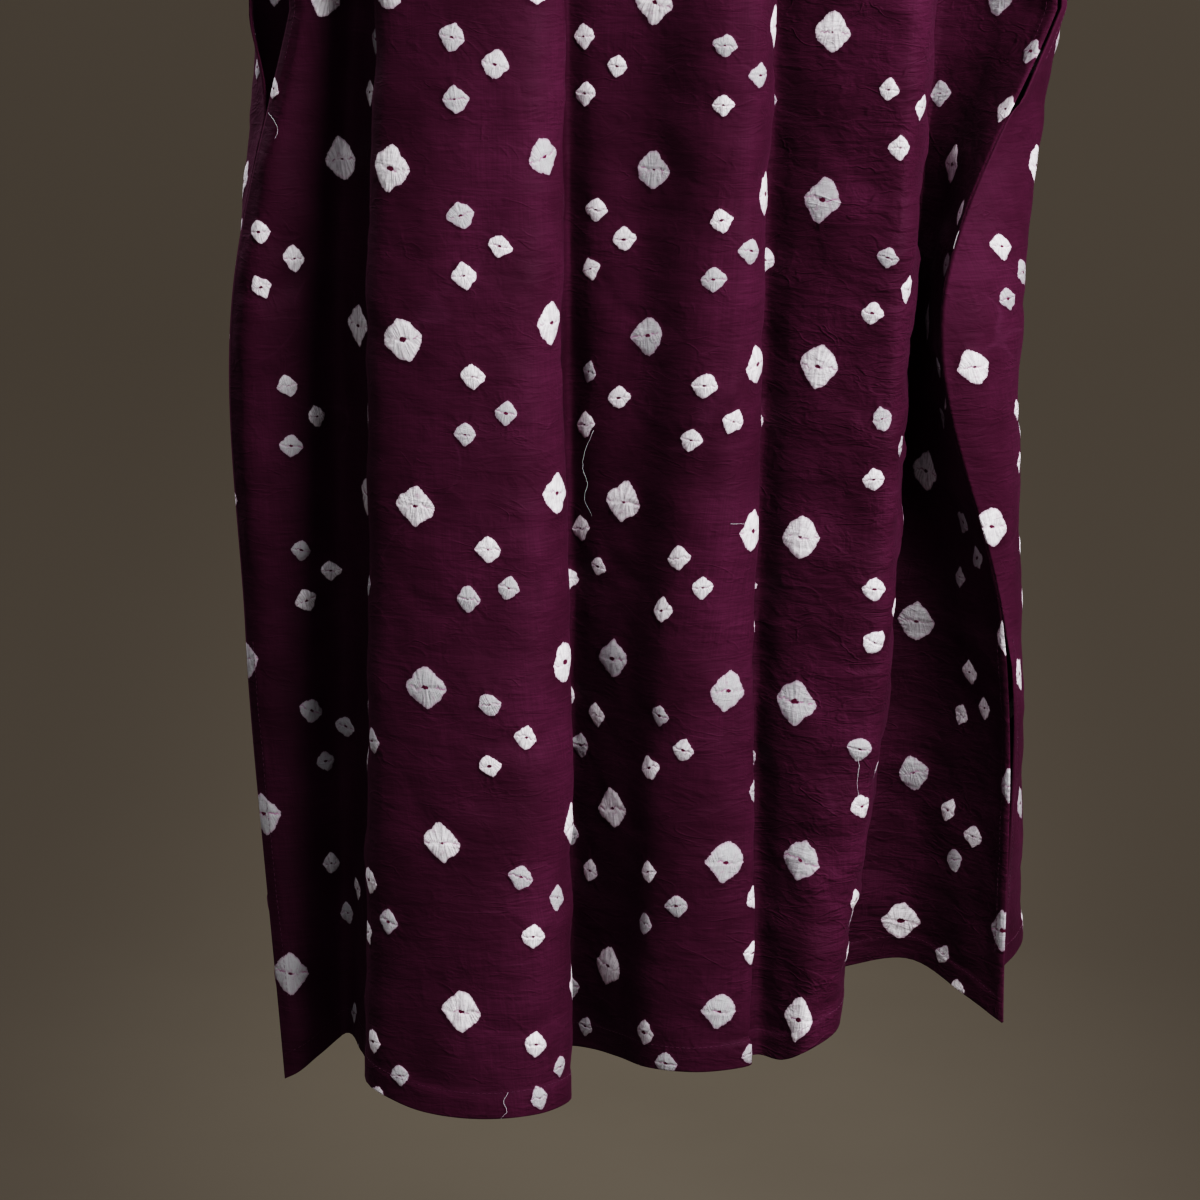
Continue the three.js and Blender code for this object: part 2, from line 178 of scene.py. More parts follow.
# Stitching in millimetres: in from side edges, down from a slit's start, up from a sleeve's end
SIDE_STITCH_IN = 8.0
SLIT_STITCH_DOWN = 45.0
SLEEVE_STITCH_UP = 35.0
FIRST_STITCH_ROW = 3
LAST_STITCH_ROW = -14
THREAD_SIDES = 6
THREAD_NEAR = 6.0

# Colours of the dyed cloth and of the dots
PLUM = (0.056, 0.0112, 0.0325, 1.0)
PLUM_DEEP = (0.035, 0.0064, 0.0194, 1.0)
PLUM_THREAD = (0.032, 0.0058, 0.0180, 1.0)
# The next colour is the stitching thread's own plum, and also a painted highlight laid on thin crease
# lines
PLUM_CREASE_HIGHLIGHT_AND_STITCH = (0.085, 0.0250, 0.0560, 1.0)
DOT_WHITE = (0.93, 0.91, 0.95, 1.0)
DOT_GREY = (0.44, 0.45, 0.47, 1.0)
# Painted shade: the grey laid along the pleat streaks inside a dot
DOT_PAINTED_PLEAT_SHADE = (0.40, 0.37, 0.41, 1.0)
DOT_SEEP = (0.34, 0.11, 0.25, 1.0)
DOT_EYE = (0.075, 0.008, 0.032, 1.0)
THREAD_WHITE = (0.55, 0.58, 0.60, 1.0)

# The grain line of the dots' first marked column on the broad front fold, x by height in millimetres
GRAIN_HEIGHTS = np.array([600.0, 690.0, 800.0, 905.0, 1010.0, 1115.0, 1222.0, 1290.0])
GRAIN_X = np.array([-146.0, -143.0, -137.0, -133.0, -127.0, -113.0, -101.0, -94.0])

# Creases, placed one by one: centre u and v, length, degrees from level, depth and half width, mm
FRONT_CREASES = [
    (30, 742, 85, 14, 1.1, 6),
    (85, 812, 70, -22, 0.9, 5),
    (-10, 868, 60, 24, 0.8, 4.5),
    (95, 905, 80, 6, -1, 5),
    (20, 968, 75, -12, 0.9, 6),
    (60, 1048, 90, 9, 1.2, 6.5),
    (0, 1105, 60, -30, 0.8, 5),
    (85, 1162, 85, 16, -1, 6),
    (30, 1232, 90, -6, 1.2, 6),
    (260, 715, 80, 34, 1, 6),
    (225, 790, 70, -18, 0.9, 5),
    (270, 862, 80, 12, 1, 5.5),
    (235, 955, 75, -28, 1, 6),
    (285, 1030, 70, 18, -0.9, 5),
    (250, 1120, 85, -8, 1.1, 6),
    (300, 1205, 80, 22, 1, 6),
    (440, 700, 70, -32, 1.2, 6),
    (485, 775, 90, 20, 1.1, 6),
    (450, 850, 70, -14, 0.9, 5),
    (500, 925, 80, 30, 1.1, 6),
    (445, 1010, 75, -20, 1, 5.5),
    (480, 1090, 80, 10, 1.2, 6),
    (455, 1175, 70, -24, 1, 5.5),
    (640, 800, 90, 48, 1.6, 8),
    (690, 860, 80, 40, 1.4, 7.5),
    (650, 980, 90, -16, 1.2, 7),
    (700, 1110, 80, 22, 1.2, 6.5),
    (-110, 720, 70, 20, 1.1, 6),
    (-170, 770, 70, 36, 1.6, 7),
    (-130, 880, 60, -16, 1, 5.5),
    (-175, 990, 65, 12, 1.1, 6),
    (-120, 1080, 70, -22, 1, 6),
    (-170, 1180, 60, 18, 1, 6),
    (-60, 420, 150, 52, 2.2, 11),
    (80, 460, 160, 78, 2, 12),
    (210, 430, 150, -72, 2.2, 11),
    (380, 400, 160, -58, 2.4, 12),
    (-190, 330, 130, 44, 2.2, 11),
    (470, 310, 140, -46, 2.2, 11),
]
BACK_CREASES = [
    (-420, 780, 90, 34, 1.6, 8),
    (-380, 860, 80, -24, 1.4, 7),
    (-440, 960, 85, 18, 1.2, 6.5),
    (-360, 1060, 80, -12, 1.2, 6),
    (-300, 740, 80, 26, 1.1, 6),
    (-250, 830, 70, -18, 0.9, 5),
    (-280, 930, 90, 8, -1, 5.5),
    (-240, 1040, 75, -26, 1, 5.5),
    (-290, 1150, 85, 14, 1.2, 6.5),
    (-90, 710, 85, -14, 1.1, 6),
    (-40, 800, 70, 30, 0.9, 5),
    (-80, 900, 80, -8, 1, 5.5),
    (-30, 1010, 90, 16, 1.2, 6),
    (-85, 1130, 75, -22, 1, 5.5),
    (120, 730, 80, 22, 1.1, 6),
    (160, 840, 70, -28, 0.9, 5),
    (110, 950, 85, 10, -1, 5.5),
    (170, 1060, 75, -16, 1, 6),
    (130, 1190, 85, 20, 1.2, 6),
    (340, 760, 80, -32, 1.2, 6.5),
    (300, 880, 70, 14, 1, 5.5),
    (360, 1010, 80, -20, 1.1, 6),
    (320, 1150, 85, 26, 1.1, 6),
    (-200, 400, 150, -64, 2.2, 11),
    (0, 450, 160, 82, 2, 12),
    (220, 400, 150, 62, 2.2, 11),
    (380, 320, 140, 46, 2.2, 11),
    (-370, 320, 140, -44, 2.2, 11),
]

# Loose thread ends on the front: radius, then x, height and stand-off of points along each, mm
LOOSE_THREADS = [
    (0.13, [(-20, -862, 0.4), (-25, -874, 1.6), (-27, -887, 2.0), (-24, -897, 2.2), (-26, -907, 2.0),
            (-21, -918, 1.6)]),
    (0.13, [(-74, -1270, 0.3), (-77, -1276, 1.2), (-75, -1282, 1.8), (-79, -1287, 2.0)]),
    (0.12, [(148, -1062, 0.3), (150, -1076, 1.2), (149, -1088, 1.8), (151, -1099, 1.4)]),
    (0.10, [(66, -914.0, 0.2), (71, -914.5, 0.5), (76, -915.0, 0.5), (80, -914.8, 0.2)]),
    (0.14, [(-226, -664, 0.3), (-222, -669, 1.2), (-220, -675, 1.8), (-222, -680, 2.2)]),
]

# Studio, in metres: half size, floor, where the floor turns up into the wall, and the painted light
# glowing on both
STUDIO_HALF = 4.0
STUDIO_FLOOR = -1.52
SWEEP_START = 0.95
SWEEP_RADIUS = 0.5
WALL_HEIGHT = 3.6
STUDIO_PAINT = (0.014, 0.012, 0.010, 1.0)
# Painted light: the emitted glow of wall and floor, its centre and fall-off, and its colours near, far and
# in its mottle
GLOW_CENTRE = (-0.02, 0.5, -1.5)
GLOW_FALL = (1.4, 0.6, 0.9)
GLOW_NEAR = (0.104, 0.089, 0.070, 1.0)
GLOW_FAR = (0.058, 0.049, 0.039, 1.0)
GLOW_MOTTLE = (0.050, 0.042, 0.034, 1.0)
WORLD_COLOR = (0.5, 0.47, 0.46, 1.0)
WORLD_STRENGTH = 0.09

# A row is a lamp: name, place, height that it is turned to, size, watts and colour
LIGHTS = [
    ("key", (0.92, -1.50, 0.18), -0.8, (0.8, 1.0), 58.0, (1.0, 0.97, 0.97)),
    ("side", (2.09, -0.68, 0.35), -0.8, (1.1, 1.1), 38.0, (1.0, 0.97, 0.97)),
    ("rear", (-1.15, 1.15, 0.55), -0.7, (1.0, 1.0), 45.0, (0.98, 0.97, 1.0)),
    ("fill", (-0.9, -3.1, 0.5), -0.9, (2.2, 2.2), 20.0, (0.98, 0.97, 1.0)),
]

# Camera: its place in metres, degrees up from straight down, and focal length in millimetres
CAMERA_PLACE = (-0.016, -2.543, -0.44)
CAMERA_TILT = 78.0
CAMERA_LENS = 119.73


def smooth(t):
    """Eases from 0 to 1 as 3t^2 - 2t^3, held at both ends."""
    t = np.clip(t, 0.0, 1.0)
    return t * t * (3 - 2 * t)


def lerp(a, b, t):
    return a + (b - a) * t


def unit(v):
    return v / np.maximum(np.linalg.norm(v, axis=-1, keepdims=True), 1e-9)


def slopes(values, knots):
    """Slopes of a smooth curve at uneven knots: each is the two neighbouring slopes' weighted mean."""
    span = np.diff(knots, axis=-1)
    rise = np.diff(values, axis=-1) / span
    before, after = span[..., :-1], span[..., 1:]
    inner = (rise[..., 1:] * before + rise[..., :-1] * after) / (before + after)
    return np.concatenate([rise[..., :1], inner, rise[..., -1:]], axis=-1)


def hermite(a, b, slope_a, slope_b, span, t):
    """The cubic from a to b over a span, with the given end slopes, t of the way along."""
    t2, t3 = t * t, t * t * t
    return ((2 * t3 - 3 * t2 + 1) * a + (t3 - 2 * t2 + t) * span * slope_a
            + (3 * t2 - 2 * t3) * b + (t3 - t2) * span * slope_b)


def curve_at(values, knots, at):
    """values (lines, knots) along a smooth curve, read at many places: gives (lines, places)."""
    slope = slopes(values, np.broadcast_to(knots, values.shape))
    i = np.clip(np.searchsorted(knots, at, side="right") - 1, 0, len(knots) - 2)
    span = knots[i + 1] - knots[i]
    t = (at - knots[i]) / span
    return hermite(values[:, i], values[:, i + 1], slope[:, i], slope[:, i + 1], span, t)


def fold_points(table, down):
    """Where each fold line runs, at each share of the way down from the fold tops to the hem."""
    numbers = np.array([row[1:] for row in table], float)
    depth = lerp(FOLDS_TOP, HEM, down)
    x = curve_at(numbers[:, 0:8:2], TABLE_HEIGHTS, depth)
    y = curve_at(numbers[:, 1:8:2], TABLE_HEIGHTS, depth)
    slit_down = (SLIT_START - FOLDS_TOP) / (HEM - FOLDS_TOP)
    low = np.maximum(0.0, (down - slit_down) / (1 - slit_down)) ** 2
    z = -depth - (numbers[:, 8:9] - HEM) * low
    return np.stack([x, y, z], axis=-1).transpose(1, 0, 2)


def section_rows(points, steps):
    """Smooth curves through each row's fold points, by chord length, steps a stretch."""
    chord = np.linalg.norm(np.diff(points[..., :2], axis=1), axis=-1)
    knots = np.concatenate([np.zeros((len(points), 1)), np.cumsum(chord, axis=1)], axis=1)
    axes = points.transpose(2, 0, 1)
    slope = slopes(axes, np.broadcast_to(knots, axes.shape))[..., None]
    t = np.arange(steps) / steps
    span = chord[None, :, :, None]
    fine = hermite(axes[:, :, :-1, None], axes[:, :, 1:, None], slope[:, :, :-1], slope[:, :, 1:], span, t)
    fine = fine.reshape(3, len(points), -1)
    return np.concatenate([fine, axes[:, :, -1:]], axis=2).transpose(1, 2, 0)


def parting(depth):
    """How far the panels part at a side: none where it is sewn, all at the sleeve and the hem."""
    sleeve = smooth((SLEEVE_END - depth) / (SLEEVE_END - FOLDS_TOP))
    slit = smooth((depth - SLIT_START) / (HEM - SLIT_START))
    return np.maximum(sleeve, slit)


def follow_seams(points, down):
    """Moves the back panel's edges to the front panel's, a seam gap away, where the side is sewn."""
    front = fold_points(FRONT_FOLDS, down)
    part = parting(lerp(FOLDS_TOP, HEM, down))[:, None]
    for mine, beside, edge, edge_beside in ((0, 1, -1, -2), (-1, -2, 0, 1)):
        across = points[:, beside] - front[:, edge_beside]
        across[:, 2] = 0
        clear = SEAM_GAP + SLIT_CLEARANCE * smooth(part * 8)
        sewn = front[:, edge] + unit(across) * clear
        points[:, mine] = lerp(sewn, points[:, mine], part)
    return points


def shoulder_line(out, side):
    """The shoulder and sleeve-top line: a gentle slope, a turn over the shoulder, then down the arm."""
    arm = np.where(side < 0, LEFT_SLEEVE_SLOPE, RIGHT_SLEEVE_SLOPE)[:, None]
    middle = (np.arange(SHOULDER_PIECES) + 0.5) / SHOULDER_PIECES
    along = out[:, None] * middle
    slope = np.radians(lerp(SHOULDER_SLOPE, arm, smooth((along - SHOULDER_RUN) / SHOULDER_TURN)))
    x = NECK_HALF + (np.cos(slope) * out[:, None] / SHOULDER_PIECES).sum(axis=1)
    z = -(np.sin(slope) * out[:, None] / SHOULDER_PIECES).sum(axis=1)
    return np.stack([x * side, np.zeros_like(x), z], axis=-1)


def top_edge(place, face, neck):
    """A panel's top edge by cloth place: the neckline within the neck, else the shoulder line."""
    drop, reach = neck
    line = shoulder_line(np.maximum(np.abs(place) - NECK_HALF, 0.0), np.sign(place))
    turn = np.clip(place / NECK_HALF, -1, 1) * np.pi / 2
    dip = np.cos(turn)
    scoop = np.stack([NECK_HALF * np.sin(turn), face * reach * dip, -drop * dip ** NECK_SCOOP], axis=-1)
    edge = np.where((np.abs(place) < NECK_HALF - 0.01)[:, None], scoop, line)
    edge[:, 1] += face * SEAM_GAP / 2
    return edge


def widths(rows):
    """Distance of cloth along each row, from its first point."""
    step = np.linalg.norm(np.diff(rows, axis=1), axis=-1)
    return np.concatenate([np.zeros((len(rows), 1)), np.cumsum(step, axis=1)], axis=1)


def cloth_places(fold_top, corners, face):
    """Cloth places of the top section's points, stretched so the neck corners and ends fit the cut."""
    along = widths(fold_top[None])[0]
    at = [0.0, along[corners[0]], along[corners[1]], along[-1]]
    return -face * np.interp(along, at, [-SLEEVE_TOP, -NECK_HALF, NECK_HALF, SLEEVE_TOP])


def upper_rows(top, low, place, down, face, chest):
    """Rows above the fold tops: over the shoulder in a quarter turn, down the chest, into the folds."""
    over = np.minimum(1.0, down / OVER_SHOULDER)[:, None] * np.pi / 2
    fall = np.maximum(0.0, (down - OVER_SHOULDER) / (1 - OVER_SHOULDER))[:, None]
    torso = np.exp(-((place / TORSO_HALF) ** 2))[None]
    reach = face * lerp(SLEEVE_DEPTH, chest, torso)
    z = top[:, 2] - SHOULDER_RISE * (1 - np.cos(over)) - (top[:, 2] - SHOULDER_RISE + FOLDS_TOP) * fall
    hang = smooth(fall ** lerp(SLEEVE_HANG, 1.0, torso))
    y = lerp(lerp(top[:, 1], reach, np.sin(over)), low[:, 1], hang)
    if face < 0:
        y = y - BUST * np.exp(-(((z + BUST_HEIGHT) / BUST_REACH) ** 2)) * torso * smooth(fall * 6)
    x = lerp(top[:, 0], low[:, 0], smooth(down)[:, None])
    return np.stack([x, y, z], axis=-1)


def columns_of(table, steps, wanted):
    """The grid columns on which the named fold lines lie."""
    names = [row[0] for row in table]
    return [names.index(name) * steps for name in wanted]


def panel_rows(table, steps, face, neck, chest, neck_lines):
    """A panel's grid of points, from its top edge to its hem, and its neck corners' columns."""
    even = np.linspace(0, 1 - LOWER_END / (HEM - FOLDS_TOP), LOWER_ROWS)
    down = np.concatenate([even, 1 - HEM_ROWS / (HEM - FOLDS_TOP)])
    points = fold_points(table, down)
    if face > 0:
        points = follow_seams(points, down)
    lower = section_rows(points, steps)
    corners = columns_of(table, steps, neck_lines)
    place = cloth_places(lower[0], corners, face)
    upper = upper_rows(top_edge(place, face, neck), lower[0], place,
                       np.linspace(0, 1, UPPER_ROWS + 1)[:-1] ** UPPER_SPREAD, face, chest)
    return np.concatenate([upper, lower]), corners


def grid_normals(rows):
    """Outward unit normals of a grid: its downward direction crossed with its sideways one."""
    down = np.gradient(rows, axis=0)
    along = np.gradient(rows, axis=1)
    return unit(np.cross(down, along))


def cloth_uv(rows, reference):
    """Cloth coordinates in metres: u across from the grain line at the reference, v down the cloth."""
    across = widths(rows)
    u = across - reference[:, None]
    step = np.linalg.norm(np.diff(rows, axis=0), axis=-1)
    v = np.empty(rows.shape[:2])
    v[UPPER_ROWS:] = -rows[UPPER_ROWS:, :, 2]
    for r in range(UPPER_ROWS - 1, -1, -1):
        v[r] = v[r + 1] - step[r]
    return u * MM, v * MM


def grain_reference(rows):
    """Cloth distance of the front's grain line: where the broad fold crosses the line's x."""
    across = widths(rows)
    first, last = columns_of(FRONT_FOLDS, FRONT_STEPS, GRAIN_LINES)
    reference = np.empty(len(rows))
    for r in range(UPPER_ROWS, len(rows)):
        x = np.interp(-rows[r, first, 2], GRAIN_HEIGHTS, GRAIN_X)
        reference[r] = np.interp(x, rows[r, first:last, 0], across[r, first:last])
    at_top = np.searchsorted(across[UPPER_ROWS], reference[UPPER_ROWS])
    share = across[:UPPER_ROWS, at_top] - across[UPPER_ROWS, at_top]
    reference[:UPPER_ROWS] = reference[UPPER_ROWS] + share
    return reference


def value_noise(x, y, seed):
    """Smooth noise from -1 to 1: random values at whole numbers, eased between them."""
    rng = np.random.default_rng(seed)
    table = rng.uniform(-1, 1, (64, 64))
    xi, yi = np.floor(x).astype(int), np.floor(y).astype(int)
    tx, ty = smooth(x - xi), smooth(y - yi)
    near = lerp(table[xi % 64, yi % 64], table[(xi + 1) % 64, yi % 64], tx)
    far = lerp(table[xi % 64, (yi + 1) % 64], table[(xi + 1) % 64, (yi + 1) % 64], tx)
    return lerp(near, far, ty)


def crease_height(u, v, creases):
    """Soft troughs, each -depth exp(-across^2 / width^2), eased out at its ends and bent a little."""
    u, v = u / MM, v / MM
    height = np.zeros_like(u)
    for cu, cv, length, turn, depth, width in creases:
        c, s = np.cos(np.radians(turn)), np.sin(np.radians(turn))
        along = (u - cu) * c - (v - cv) * s
        across = (u - cu) * s + (v - cv) * c + 0.9 * along ** 2 / length
        ends = np.exp(-((2 * along / length) ** 4))
        height -= CREASE_GAIN * depth * ends * np.exp(-((across / width) ** 2))
    return height * MM


def ripple_height(u, v, seed):
    """Hanging ripples: broad level waves, finer slanting ones and a faint crinkle, from eased noise."""
    crumpled = 1 + smooth((u - CRUMPLED[0]) / (CRUMPLED[1] - CRUMPLED[0]))
    broad = value_noise(u * 9 + 5, v * 22 + value_noise(u * 6, v * 5, seed + 1), seed)
    slant = value_noise(u * 26 + v * 14 + 40, v * 40 - u * 12 + 40, seed + 2)
    fine = value_noise(u * 48 + 60, v * 105 + 9 * u + 60, seed + 3)
    return 0.00150 * broad + crumpled * (0.00115 * slant + 0.00055 * fine)


def dot_list(seed):
    """Centres, radii, turns and seeds of all tied dots, a row each: u, v, ru, rv, turn, seed."""
    rng = np.random.default_rng(seed)
    dots = []
    for k in DOT_COLUMNS:
        column = k % len(COLUMN_DROPS)
        cluster_drop = CLUSTER_DROPS[column] + ROW_HEIGHT / 2 - CLUSTER_UP
        cluster_u = (k - 1.5) * COLUMN_WIDTH - CLUSTER_LEFT + CLUSTER_SHIFTS[column]
        for j in DOT_ROWS:
            u = (k - 2) * COLUMN_WIDTH + COLUMN_SHIFTS[column]
            v = FIRST_ROW + j * ROW_HEIGHT + COLUMN_DROPS[column]
            sway = rng.normal(0, 0.0022, 2)
            size = rng.uniform(0.92, 1.08) * np.array(LARGE_DOT) * rng.uniform(0.95, 1.05, 2)
            dots.append((u + sway[0], v + sway[1], *size, rng.normal(0, 0.14), rng.uniform(0, 1)))
            lean = rng.normal(0.08, 0.16)
            middle = rng.normal(0, 0.0030, 2) + (cluster_u, v + cluster_drop)
            for du, dv in CLUSTER:
                cu = middle[0] + du * np.cos(lean) - dv * np.sin(lean) + rng.normal(0, 0.0012)
                cv = middle[1] + du * np.sin(lean) + dv * np.cos(lean) + rng.normal(0, 0.0012)
                size = rng.uniform(0.88, 1.10) * np.array(SMALL_DOT) * rng.uniform(0.93, 1.07, 2)
                dots.append((cu, cv, *size, rng.normal(0, 0.2), rng.uniform(0, 1)))
    return np.array(dots)


def nearest_dot(u, v, dots):
    """Index of the dot whose own radius makes it nearest to each place."""
    best = np.full(u.shape, 1e9)
    index = np.zeros(u.shape, int)
    for i, (du, dv, ru, _, _, _) in enumerate(dots):
        near = ((u - du) ** 2 + (v - dv) ** 2) / ru ** 2
        closer = near < best
        best = np.where(closer, near, best)
        index = np.where(closer, i, index)
    return index


def dot_offsets(u, v, index, dots):
    """Each place seen from its dot, in the dot's own radii and turn, with the dot's seed."""
    d = dots[index]
    du, dv = u - d[..., 0], v - d[..., 1]
    c, s = np.cos(d[..., 4]), np.sin(d[..., 4])
    return np.stack([(du * c + dv * s) / d[..., 2], (dv * c - du * s) / d[..., 3], d[..., 5]], axis=-1)


def dot_height(offsets):
    """A tied dot stands up in a low cone with a pinched tip, ringed by a faint dent."""
    r = np.linalg.norm(offsets[..., :2], axis=-1)
    return 0.00055 * np.exp(-(r / 0.85) ** 2) - 0.00025 * np.exp(-((r - 1.5) / 0.45) ** 2)


def mesh_object(name, points, faces):
    """A smooth mesh object at the origin from whole arrays of points and quads."""
    mesh = bpy.data.meshes.new(name)
    mesh.from_pydata(points.tolist(), [], faces.tolist())
    mesh.validate()
    mesh.shade_smooth()
    obj = bpy.data.objects.new(name, mesh)
    bpy.context.scene.collection.objects.link(obj)
    return obj


def wall_faces(height, width):
    """Quads of a closed wall: the outer grid, the inner one turned round, and the four rims."""
    grid = np.arange(height * width).reshape(height, width)
    inner = grid + height * width
    a, b, c, d = grid[:-1, :-1], grid[1:, :-1], grid[1:, 1:], grid[:-1, 1:]
    outside = np.stack([a, b, c, d], axis=-1).reshape(-1, 4)
    inside = np.stack([a, d, c, b], axis=-1).reshape(-1, 4) + height * width

    def rim(line, other):
        return np.stack([line[:-1], line[1:], other[1:], other[:-1]], axis=-1)

    ends = [rim(grid[0], inner[0]), rim(inner[-1], grid[-1])]
    sides = [rim(inner[:, 0], grid[:, 0]), rim(grid[:, -1], inner[:, -1])]
    return np.concatenate([outside, inside, *ends, *sides])


def shared_edge_normals(front, back):
    """Edges that face the other panel's edge take one shared direction of thickness."""
    for panel in (front, back):
        edge = panel["rows"][0]
        run = np.gradient(edge, axis=0)
        run[:, 1] = 0
        run *= np.sign(run[:, :1])
        shared = unit(np.stack([-run[:, 2], 0 * run[:, 0], run[:, 0]], axis=-1))
        columns = np.arange(len(edge))
        off_neck = (columns <= panel["corners"][0]) | (columns >= panel["corners"][1])
        panel["normals"][0][off_neck] = shared[off_neck]
    for mine, mine_in, theirs, theirs_in in ((-1, -9, 0, 8), (0, 8, -1, -9)):
        f, b = front["rows"][1:], back["rows"][1:]
        apart = np.linalg.norm(f[:, mine] - b[:, theirs], axis=-1)
        own = smooth((apart - 1) / 6)[:, None]
        across = b[:, theirs_in] - f[:, mine_in]
        shared = unit(np.stack([across[:, 1], -across[:, 0], 0 * across[:, 0]], axis=-1))
        shared *= np.sign((shared * front["normals"][1:, mine]).sum(axis=-1, keepdims=True))
        for panel, column in ((front, mine), (back, theirs)):
            panel["normals"][1:, column] = unit(lerp(shared, panel["normals"][1:, column], own))


def edge_turnings(rows):
    """How much thicker the cloth is at its turned hems, from 0 to 1, by distance from open edges."""
    depth = -rows[..., 2]
    from_hem = depth[-1][None] - depth
    across = widths(rows)
    from_side = np.minimum(across, across[:, -1:] - across)
    part = parting(depth[:, :1])
    at_side = smooth((HEM_DEPTH - 6 - from_side) / 1.5) * smooth(part * 6)
    at_hem = smooth((HEM_DEPTH - from_hem) / 1.5)
    return np.maximum(at_hem, at_side)


def make_panel(table, steps, face, neck, chest, neck_lines, creases, seed):
    """A panel's middle surface with its relief, and all that its wall, dots and stitches need."""
    rows, corners = panel_rows(table, steps, face, neck, chest, neck_lines)
    across = widths(rows)
    if face < 0:
        reference = grain_reference(rows)
    else:
        middle = columns_of(table, steps, ["crest_three"])[0]
        reference = across[:, middle]
    u, v = cloth_uv(rows, reference)
    dots = dot_list(seed)
    offsets = dot_offsets(u, v, nearest_dot(u, v, dots), dots)
    height = crease_height(u, v, creases) + ripple_height(u, v, seed) + dot_height(offsets)
    normals = grid_normals(rows)
    edge_fade = smooth(np.minimum(across, across[:, -1:] - across) / CALM_EDGE)
    top_fade = smooth(np.arange(len(rows)) / CALM_TOP_ROWS)[:, None]
    turned = edge_turnings(rows)
    moved = height * edge_fade * top_fade * (1 - CALM_TURNING * turned) / MM
    rows = rows + normals * moved[..., None]
    return {"rows": rows, "normals": grid_normals(rows), "corners": corners, "u": u, "v": v,
            "dots": dots, "turned": turned}


def panel_object(name, panel):
    """The closed wall of a panel with its cloth coordinates as UVMap and its dots as an attribute."""
    rows, normals = panel["rows"], panel["normals"]
    height, width = rows.shape[:2]
    half = (CLOTH + HEM_THICKER * panel["turned"])[..., None] / 2
    points = np.concatenate([rows + normals * half, rows - normals * half]).reshape(-1, 3)
    faces = wall_faces(height, width)
    obj = mesh_object(name, points * MM, faces)
    u = np.tile(panel["u"].ravel(), 2)[faces]
    v = np.tile(panel["v"].ravel(), 2)[faces]
    index = nearest_dot(u.mean(axis=1), v.mean(axis=1), panel["dots"])
    offsets = dot_offsets(u, v, np.repeat(index[:, None], 4, axis=1), panel["dots"])
    mesh = obj.data
    uv = mesh.uv_layers.new(name="UVMap")
    uv.data.foreach_set("uv", np.stack([u, -v], axis=-1).astype(np.float32).ravel())
    dot = mesh.attributes.new("tied_dot", "FLOAT_VECTOR", "CORNER")
    dot.data.foreach_set("vector", offsets.astype(np.float32).ravel())
    return obj


def binding_object(front, back):
    """The neck binding: a folded strip standing on both neck edges, its section a rounded band."""

    def neck_edge(panel):
        first, last = panel["corners"]
        return panel["rows"][0][first:last + 1]

    loop = np.concatenate([neck_edge(front), neck_edge(back)])
    tangent = unit(np.roll(loop, -1, axis=0) - np.roll(loop, 1, axis=0))
    rise = unit(-loop * (1, 1, 0)) * 0.45 + (0, 0, 0.9)
    rise = unit(rise - tangent * (rise * tangent).sum(axis=1, keepdims=True))
    out = unit(np.cross(tangent, rise))
    foot = SEAM_GAP + CLOTH / 2 + 0.25
    half, top = BINDING_WALL / 2, foot + BINDING_WIDTH
    outer = [(foot, half), (foot + 2, half * 1.1), (foot + 3, half * 0.85), (top - 2, half * 1.1),
             (top - 0.5, half * 0.8)]
    section = np.array(outer + [(top, 0.0)] + [(up, -side) for up, side in reversed(outer)])
    along = np.arange(len(loop))
    wave = 1 + 0.10 * np.sin(along * 0.9) + 0.06 * np.sin(along * 2.3 + 1)
    rings = loop[:, None] + rise[:, None] * section[None, :, :1]
    rings = rings + out[:, None] * section[None, :, 1:] * wave[:, None, None]
    count, sides = len(loop), len(section)
    ids = np.arange(count * sides).reshape(count, sides)
    after = np.roll(ids, -1, axis=0)
    quads = np.stack([ids, after, np.roll(after, -1, axis=1), np.roll(ids, -1, axis=1)], axis=-1)
    quads = quads.reshape(-1, 4)
    obj = mesh_object("neck_binding_cloth", rings.reshape(-1, 3) * MM, quads)
    lengths = np.concatenate([[0], np.cumsum(np.linalg.norm(np.diff(loop, axis=0), axis=1))]) * MM
    u = np.repeat(lengths[:, None], sides, axis=1).ravel()
    v = np.tile(np.linspace(0, 0.022, sides), count)
    uv = obj.data.uv_layers.new(name="UVMap")
    uv.data.foreach_set("uv", np.stack([u[quads], v[quads]], axis=-1).astype(np.float32).ravel())
    return obj


